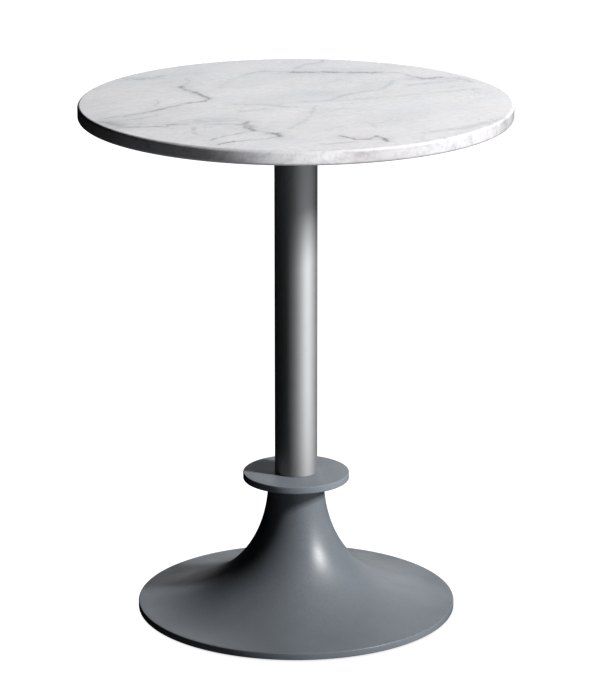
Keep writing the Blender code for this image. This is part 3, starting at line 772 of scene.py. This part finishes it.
def make_stem():
    """The straight column tube."""
    low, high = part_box("stem_tube")
    outer = high.x
    inner = stem_bore()
    edge = TUBE_EDGE
    profile = [(inner, high.z)]
    profile += arc((outer - edge, high.z - edge), edge, 90, 0, 3)
    profile += [(outer, low.z + (high.z - low.z) * share) for share in (0.75, 0.5, 0.25)]
    profile += arc((outer - edge, low.z + edge), edge, 0, -90, 3)
    profile += [(inner, low.z)]
    stand_for(lathe("column_tube", profile, TUBE_METAL), "stem_tube")


def make_collar():
    """The flat collar disc."""
    low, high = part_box("collar_disc")
    radius = high.x
    bore = stem_bore()
    edge = COLLAR_EDGE_RADIUS
    profile = [(bore, high.z), ((bore + radius) / 2, high.z)]
    profile += arc((radius - edge, high.z - edge), edge, 90, 0, 5)
    profile += arc((radius - edge, low.z + edge), edge, 0, -90, 5)
    profile += [(bore, low.z)]
    stand_for(lathe("collar", profile, GREY_PAINT), "collar_disc")


def flare(neck, rim):
    """Points down the outside of the base on one cubic curve, the same as the CAD casting's."""
    below_neck = neck - Vector((0, NECK_DROP))
    inside_rim = rim + Vector((-DISC_REACH, DISC_REACH * DISC_SLOPE))
    points = []
    for i in range(FLARE_STEPS + 1):
        t = i / FLARE_STEPS
        s = 1 - t
        points.append(s**3 * neck + 3 * s**2 * t * below_neck + 3 * s * t**2 * inside_rim + t**3 * rim)
    return points


def inward(points, distance):
    """The same curve moved square to itself, towards the inside of the base."""
    moved = []
    for i, point in enumerate(points):
        along = (points[min(i + 1, len(points) - 1)] - points[max(i - 1, 0)]).normalized()
        moved.append(point + distance * Vector((along.y, -along.x)))
    return moved


def make_base():
    """The trumpet base, with its rim, its hollow underside and the clamping web in its neck."""
    low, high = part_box("base_casting")
    radius = high.x
    bore = stem_bore()
    floor = high.z - POCKET_DEPTH
    web = floor - WEB_THICKNESS
    outside = flare(Vector((NECK_RADIUS, high.z)), Vector((radius - RIM_EDGE_RADIUS, low.z + RIM_HEIGHT)))
    rim_inside = radius - CASTING_WALL
    inside = [p for p in inward(outside, CASTING_WALL) if p.y < web and p.x < rim_inside - RIM_LAND]
    centre = radius - RIM_EDGE_RADIUS
    profile = [(bore, high.z)]
    profile += [(p.x, p.y) for p in outside[:-1]]
    profile += arc((centre, low.z + RIM_HEIGHT - RIM_EDGE_RADIUS), RIM_EDGE_RADIUS, 90, 0, 5)
    profile += arc((centre, low.z + RIM_EDGE_RADIUS), RIM_EDGE_RADIUS, 0, -90, 5)
    profile += [(rim_inside, low.z)]
    profile += [(p.x, p.y) for p in reversed(inside)]
    profile += [(inside[0].x, web), (ROD_HOLE_RADIUS, web), (ROD_HOLE_RADIUS, floor), (bore, floor)]
    base = lathe("trumpet_base", profile, CAST_PAINT)
    hex_top = GLIDE_HEX_UNDERSIDE + GLIDE_HEX_HEIGHT
    boss_bottom = hex_top + FIT_GAP
    boss_top = boss_bottom + GLIDE_BOSS_BURIAL
    glides = middles("glide_pad")
    bosses = []
    edge = BOSS_EDGE
    for point in glides:
        outline = [(0, boss_top), (GLIDE_BOSS_RADIUS, boss_top)]
        outline += arc((GLIDE_BOSS_RADIUS - edge, boss_bottom + edge), edge, 0, -90, 3)
        outline += [(0, boss_bottom)]
        boss = lathe("boss", outline, CAST_PAINT, SMALL_STEPS, closed=False)
        boss.location = (point.x, point.y, 0)
        bosses.append(boss)
    combine(base, "UNION", bosses)
    hole_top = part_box("glide_stud_1")[1].z + FIT_GAP
    holes = drills(GLIDE_STUD_RADIUS + FIT_GAP, boss_bottom - DRILL_OVERRUN, hole_top, glides)
    combine(base, "DIFFERENCE", holes)
    stand_for(base, "base_casting")


def spider_arms(top):
    """The spider's four arms, with fillets between them and softened edges."""
    half_arm = SPIDER_ARM_WIDTH / 2
    corner = half_arm + SPIDER_FILLET
    outline = []
    for arm in range(4):
        turn = Matrix.Rotation(radians(45 + 90 * arm), 2)
        points = arc((SCREW_CIRCLE_RADIUS, 0), half_arm, -90, 90, 24)
        points += arc((corner, corner), SPIDER_FILLET, 270, 180, 12)
        outline += [turn @ Vector(point) for point in points]
    cage = bmesh.new()
    corners = [cage.verts.new((point.x, point.y, top - SPIDER_ARM_THICKNESS)) for point in outline]
    underside = cage.faces.new(reversed(corners))
    raised = bmesh.ops.extrude_face_region(cage, geom=[underside])["geom"]
    lifted = [item for item in raised if isinstance(item, bmesh.types.BMVert)]
    bmesh.ops.translate(cage, verts=lifted, vec=(0, 0, SPIDER_ARM_THICKNESS))
    bmesh.ops.recalc_face_normals(cage, faces=cage.faces)
    arms = from_cage("spider_casting", cage)
    arms.data.materials.append(BLACK_PAINT)
    soft = arms.modifiers.new("Soft", "BEVEL")
    soft.width = CASTING_EDGE
    soft.segments = 3
    soft.limit_method = "ANGLE"
    soft.angle_limit = radians(60)
    evaluated(arms)
    return arms


def make_spider():
    """The four-armed iron casting under the slab, with a hub and a spigot that centres the column."""
    low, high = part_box("top_spider")
    spider = spider_arms(high.z)
    arm_bottom = high.z - SPIDER_ARM_THICKNESS
    hub_bottom = high.z - SPIDER_HUB_DEPTH
    hub_top = high.z - HUB_SINK
    spigot = stem_bore() - FIT_GAP
    outside = SPIDER_HUB_RADIUS + HUB_COVE
    edge = HUB_EDGE
    profile = [(0, hub_top), (outside, hub_top), (outside, arm_bottom)]
    profile += arc((outside, arm_bottom - HUB_COVE), HUB_COVE, 90, 180, 6)[1:]
    profile += arc((SPIDER_HUB_RADIUS - edge, hub_bottom + edge), edge, 0, -90, 5)
    profile += [(spigot, hub_bottom), (spigot, low.z + edge), (spigot - edge, low.z), (0, low.z)]
    combine(spider, "UNION", [lathe("hub", profile, BLACK_PAINT, HUB_STEPS, closed=False)])
    overrun = 0.004
    screw_hole, rod_hole = SCREW_RADIUS + FIT_GAP, ROD_RADIUS + FIT_GAP
    holes = drills(screw_hole, arm_bottom - overrun, high.z + overrun, middles("top_screw"))
    holes += drills(rod_hole, low.z - overrun, high.z + overrun, [Vector((0, 0, 0))])
    combine(spider, "DIFFERENCE", holes)
    stand_for(spider, "top_spider")


def make_top_fixings():
    """The screws with their washers and rubber pads, which hold the spider to the slab."""
    bore = SCREW_RADIUS + FIT_GAP
    low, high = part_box("top_pad_1")
    pad = ring("pad", bore, half_width("top_pad_1"), low.z, high.z, RUBBER_EDGE, RUBBER)
    copies(pad, "slab_pad", "top_pad")

    low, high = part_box("top_washer_1")
    washer = ring("washer", bore, half_width("top_washer_1"), low.z, high.z, WASHER_EDGE, ZINC)
    copies(washer, "screw_washer", "top_washer")

    low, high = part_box("top_screw_1")
    head_top = low.z + SCREW_HEAD_HEIGHT
    head = hexagonal("screw", SCREW_HEAD_FLATS, 0, low.z, head_top, ZINC)
    root = head_top - THREAD_ROOT
    runs = [(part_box("top_spider")[1].z - SPIDER_ARM_THICKNESS / 2, high.z)]
    shank = threaded("shank", SCREW_RADIUS, SCREW_PITCH, root, high.z, SCREW_CHAMFER, runs, ZINC)
    screw = combine(head, "UNION", [shank], sharp=SCREW_SHARP_ANGLE)
    copies(screw, "slab_screw", "top_screw")


def make_inserts():
    """Brass inserts in the slab's blind holes, grooved so that the resin keys into them."""
    low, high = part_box("insert_1")
    radius = half_width("insert_1")
    bore = SCREW_RADIUS + FIT_GAP
    lead, shoulder, foot = 0.0004, 0.0006, 0.0003
    root = radius - INSERT_GROOVE_DEPTH
    profile = [(bore, high.z - lead), (bore + lead, high.z)]
    profile += [(radius - shoulder, high.z), (radius, high.z - shoulder)]
    for groove in INSERT_GROOVES:
        top = low.z + groove
        profile += [(radius, top), (root, top - 0.0003), (root, top - 0.0010), (radius, top - 0.0013)]
    profile += [(radius, low.z + foot), (radius - foot, low.z)]
    profile += [(bore + lead, low.z), (bore, low.z + lead)]
    copies(lathe("insert", profile, BRASS, SMALL_STEPS), "threaded_insert", "insert")


def make_plug():
    """The turned plug that centres the column, the collar and the base."""
    low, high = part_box("stem_plug")
    radius = high.x
    bore = ROD_HOLE_RADIUS
    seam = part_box("collar_disc")[0].z
    edge, lead = PLUG_CHAMFER, PLUG_BORE_CHAMFER
    root = radius - PLUG_GROOVE_DEPTH
    near, far = PLUG_GROOVE_REACH
    profile = [(bore, high.z - lead), (bore + lead, high.z), (radius - edge, high.z), (radius, high.z - edge)]
    profile += [(radius, seam + far), (root, seam + near), (root, seam - near), (radius, seam - far)]
    profile += [(radius, low.z + edge), (radius - edge, low.z), (bore + lead, low.z), (bore, low.z + lead)]
    stand_for(lathe("centring_plug", profile, ZINC, HUB_STEPS), "stem_plug")


def make_clamp():
    """The tie rod, threaded at both ends, and its plate washer, split spring washer and nut."""
    low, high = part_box("tie_rod")
    runs = [(low.z, low.z + ROD_THREAD_LENGTH), (high.z - ROD_THREAD_LENGTH, high.z)]
    rod = threaded("threaded_tie_rod", ROD_RADIUS, ROD_PITCH, low.z, high.z, ROD_CHAMFER, runs, ZINC)
    stand_for(rod, "tie_rod")

    bore = ROD_RADIUS + FIT_GAP
    low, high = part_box("clamp_washer")
    plate = ring("plate_washer", bore, high.x, low.z, high.z, PLATE_EDGE, ZINC, HUB_STEPS)
    stand_for(plate, "clamp_washer")

    low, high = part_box("spring_washer")
    split = ring("split_washer", bore, high.y, low.z, high.z, WASHER_EDGE, ZINC, WASHER_STEPS)
    cage = bmesh.new()
    bmesh.ops.create_cube(cage, size=1.0)
    bmesh.ops.scale(cage, verts=cage.verts, vec=(high.y * 2, *SLIT_SIZE))
    slit = from_cage("slit", cage)
    slit.location = (high.y, 0, (low.z + high.z) / 2)
    slit.rotation_euler = (radians(SLIT_SLANT), 0, 0)
    combine(split, "DIFFERENCE", [slit])
    stand_for(split, "spring_washer")

    low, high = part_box("rod_nut")
    nut = hexagonal("clamp_nut", ROD_NUT_FLATS, bore, low.z, high.z, ZINC)
    stand_for(nut, "rod_nut")


def make_glide_pads():
    """The moulded pads, with a socket for the stud's head, a line round the side and grooves underneath."""
    low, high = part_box("glide_pad_1")
    radius = half_width("glide_pad_1")
    socket = GLIDE_HEAD_RADIUS + FIT_GAP
    socket_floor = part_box("glide_stud_1")[0].z - FIT_GAP
    lead = 0.0002
    edge, depth = GLIDE_PAD_EDGE, PAD_GROOVE_DEPTH
    profile = [(0, socket_floor), (socket, socket_floor), (socket, high.z - lead), (socket + lead, high.z)]
    profile += arc((radius - edge, high.z - edge), edge, 90, 0, 4)
    profile += [(radius, 0.0025), (radius - depth, 0.0023), (radius - depth, 0.0017), (radius, 0.0015)]
    profile += arc((radius - edge, low.z + edge), edge, 0, -90, 4)
    for groove in PAD_GROOVES:
        profile += [(groove, low.z), (groove - 0.0002, low.z + depth)]
        profile += [(groove - 0.0008, low.z + depth), (groove - 0.0010, low.z)]
    profile += [(0, low.z)]
    pad = lathe("glide_foot", profile, PLASTIC, SMALL_STEPS, closed=False)
    copies(pad, "glide_foot", "glide_pad", "glide")


def make_glide_studs():
    """The studs of the levelling feet: a round head, a hexagon and a rolled thread."""
    low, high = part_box("glide_stud_1")
    hex_top = GLIDE_HEX_UNDERSIDE + GLIDE_HEX_HEIGHT
    flange = hexagonal("stud", GLIDE_HEX_FLATS, 0, GLIDE_HEX_UNDERSIDE, hex_top, ZINC)
    edge = GLIDE_HEAD_EDGE
    profile = [(0, hex_top - 0.001), (GLIDE_HEAD_RADIUS, hex_top - 0.001)]
    profile += arc((GLIDE_HEAD_RADIUS - edge, low.z + edge), edge, 0, -90, 3)
    profile += [(0, low.z)]
    head = lathe("stud_head", profile, ZINC, SMALL_STEPS, closed=False)
    root = hex_top - THREAD_ROOT
    runs = [(hex_top, high.z)]
    thread = threaded("thread", GLIDE_STUD_RADIUS, GLIDE_PITCH, root, high.z, GLIDE_CHAMFER, runs, ZINC)
    stud = combine(flange, "UNION", [head, thread], sharp=SCREW_SHARP_ANGLE)
    copies(stud, "glide_thread", "glide_stud", "glide_screw")


make_slab()
make_stem()
make_collar()
make_base()
make_spider()
make_top_fixings()
make_inserts()
make_plug()
make_clamp()
make_glide_pads()
make_glide_studs()


# --- Stage, light and camera ----------------------------------------------------------------------------

STAGE_HALF_WIDTH = 12
SHADOW_REACH = 0.30
SHADOW_DEPTH = 0.66  # the floor's brightness where the base stands

# The studio round the table: (azimuth, elevation, strength, width from 0 to 2) of each soft patch of light.
STUDIO = [
    (56, -22, 0.66, 0.64),  # a long pale wall and floor to the right
    (171, 16, 0.95, 0.14),  # the white backdrop behind
    (0, -90, 0.22, 0.45),  # the pale floor below
]
STUDIO_DARK = 0.003
STUDIO_TINT = (0.93, 0.96, 1.0)

KEY_AZIMUTH = 65
KEY_ELEVATION = 32
KEY_DISTANCE = 5.5
KEY_SIZE = (0.62, 1.10)
KEY_POWER = 396  # watts
KEY_TARGET = Vector((0, 0, 0.40))


def make_floor():
    """A plain pale floor with a soft shadow where the base stands. It is clear from below."""
    cage = bmesh.new()
    bmesh.ops.create_grid(cage, x_segments=1, y_segments=1, size=STAGE_HALF_WIDTH)
    floor = from_cage("floor", cage)
    shader = Shader("pale_floor")
    occlusion = shader.node("ShaderNodeAmbientOcclusion", samples=12)
    occlusion.inputs["Distance"].default_value = SHADOW_REACH
    strength = shader.spread(occlusion.outputs["AO"], 0.0, 0.9, SHADOW_DEPTH, 1.0, smooth=False)
    glow = shader.node("ShaderNodeEmission")
    shader.link(strength, glow.inputs["Strength"])
    clear = shader.node("ShaderNodeBsdfTransparent").outputs[0]
    camera_ray = shader.node("ShaderNodeLightPath").outputs["Is Camera Ray"]
    from_below = shader.node("ShaderNodeNewGeometry").outputs["Backfacing"]
    seen = shader.choice(camera_ray, clear, glow.outputs[0])
    surface = shader.choice(from_below, seen, clear)
    shader.link(surface, shader.tree.nodes["Material Output"].inputs["Surface"])
    floor.data.materials.append(shader.material)


def direction(azimuth, elevation):
    """The unit vector towards a light. Azimuth 0 is towards the camera and 90 is to the right."""
    a, e = radians(azimuth), radians(elevation)
    return Vector((sin(a) * cos(e), -cos(a) * cos(e), sin(e)))


def make_key_light():
    """A soft rectangular light that looks at the table."""
    data = bpy.data.lights.new("key", "AREA")
    data.shape = "RECTANGLE"
    data.size, data.size_y = KEY_SIZE
    data.energy = KEY_POWER
    lamp = added("key", data)
    towards = direction(KEY_AZIMUTH, KEY_ELEVATION)
    lamp.location = KEY_TARGET + towards * KEY_DISTANCE
    lamp.rotation_mode = "QUATERNION"
    lamp.rotation_quaternion = towards.to_track_quat("Z", "Y")


def make_world():
    """White to the camera. As light it is a dark studio with soft pale patches."""
    world = bpy.data.worlds.new("studio")
    scene.world = world
    world.use_nodes = True
    world.node_tree.nodes.clear()
    nodes = Nodes(world.node_tree)

    def background(color, strength):
        made = nodes.node("ShaderNodeBackground")
        nodes.link((*color, 1), made.inputs["Color"])
        nodes.link(strength, made.inputs["Strength"])
        return made.outputs[0]

    looking = nodes.node("ShaderNodeTexCoord").outputs["Generated"]
    total = STUDIO_DARK
    for azimuth, elevation, strength, width in STUDIO:
        facing = nodes.vector("DOT_PRODUCT", looking, direction(azimuth, elevation))
        total = nodes.math("ADD", total, nodes.spread(facing, 1 - width, 1.0, 0.0, strength))
    camera_ray = nodes.node("ShaderNodeLightPath").outputs["Is Camera Ray"]
    seen = nodes.choice(camera_ray, background(STUDIO_TINT, total), background((1, 1, 1), 1.0))
    nodes.link(seen, nodes.node("ShaderNodeOutputWorld").inputs["Surface"])


def make_camera():
    """The camera, in front of the table and looking down at it."""
    data = bpy.data.cameras.new("camera")
    data.lens = CAMERA_LENS
    data.sensor_width = CAMERA_SENSOR
    camera = added("camera", data)
    camera.location = (0, -CAMERA_DISTANCE, CAMERA_HEIGHT)
    camera.rotation_euler = (radians(90 - CAMERA_PITCH), 0, radians(CAMERA_YAW))
    scene.camera = camera


make_floor()
make_world()
make_camera()
make_key_light()
scene.view_settings.view_transform = "Standard"
scene.view_settings.look = "Medium High Contrast"
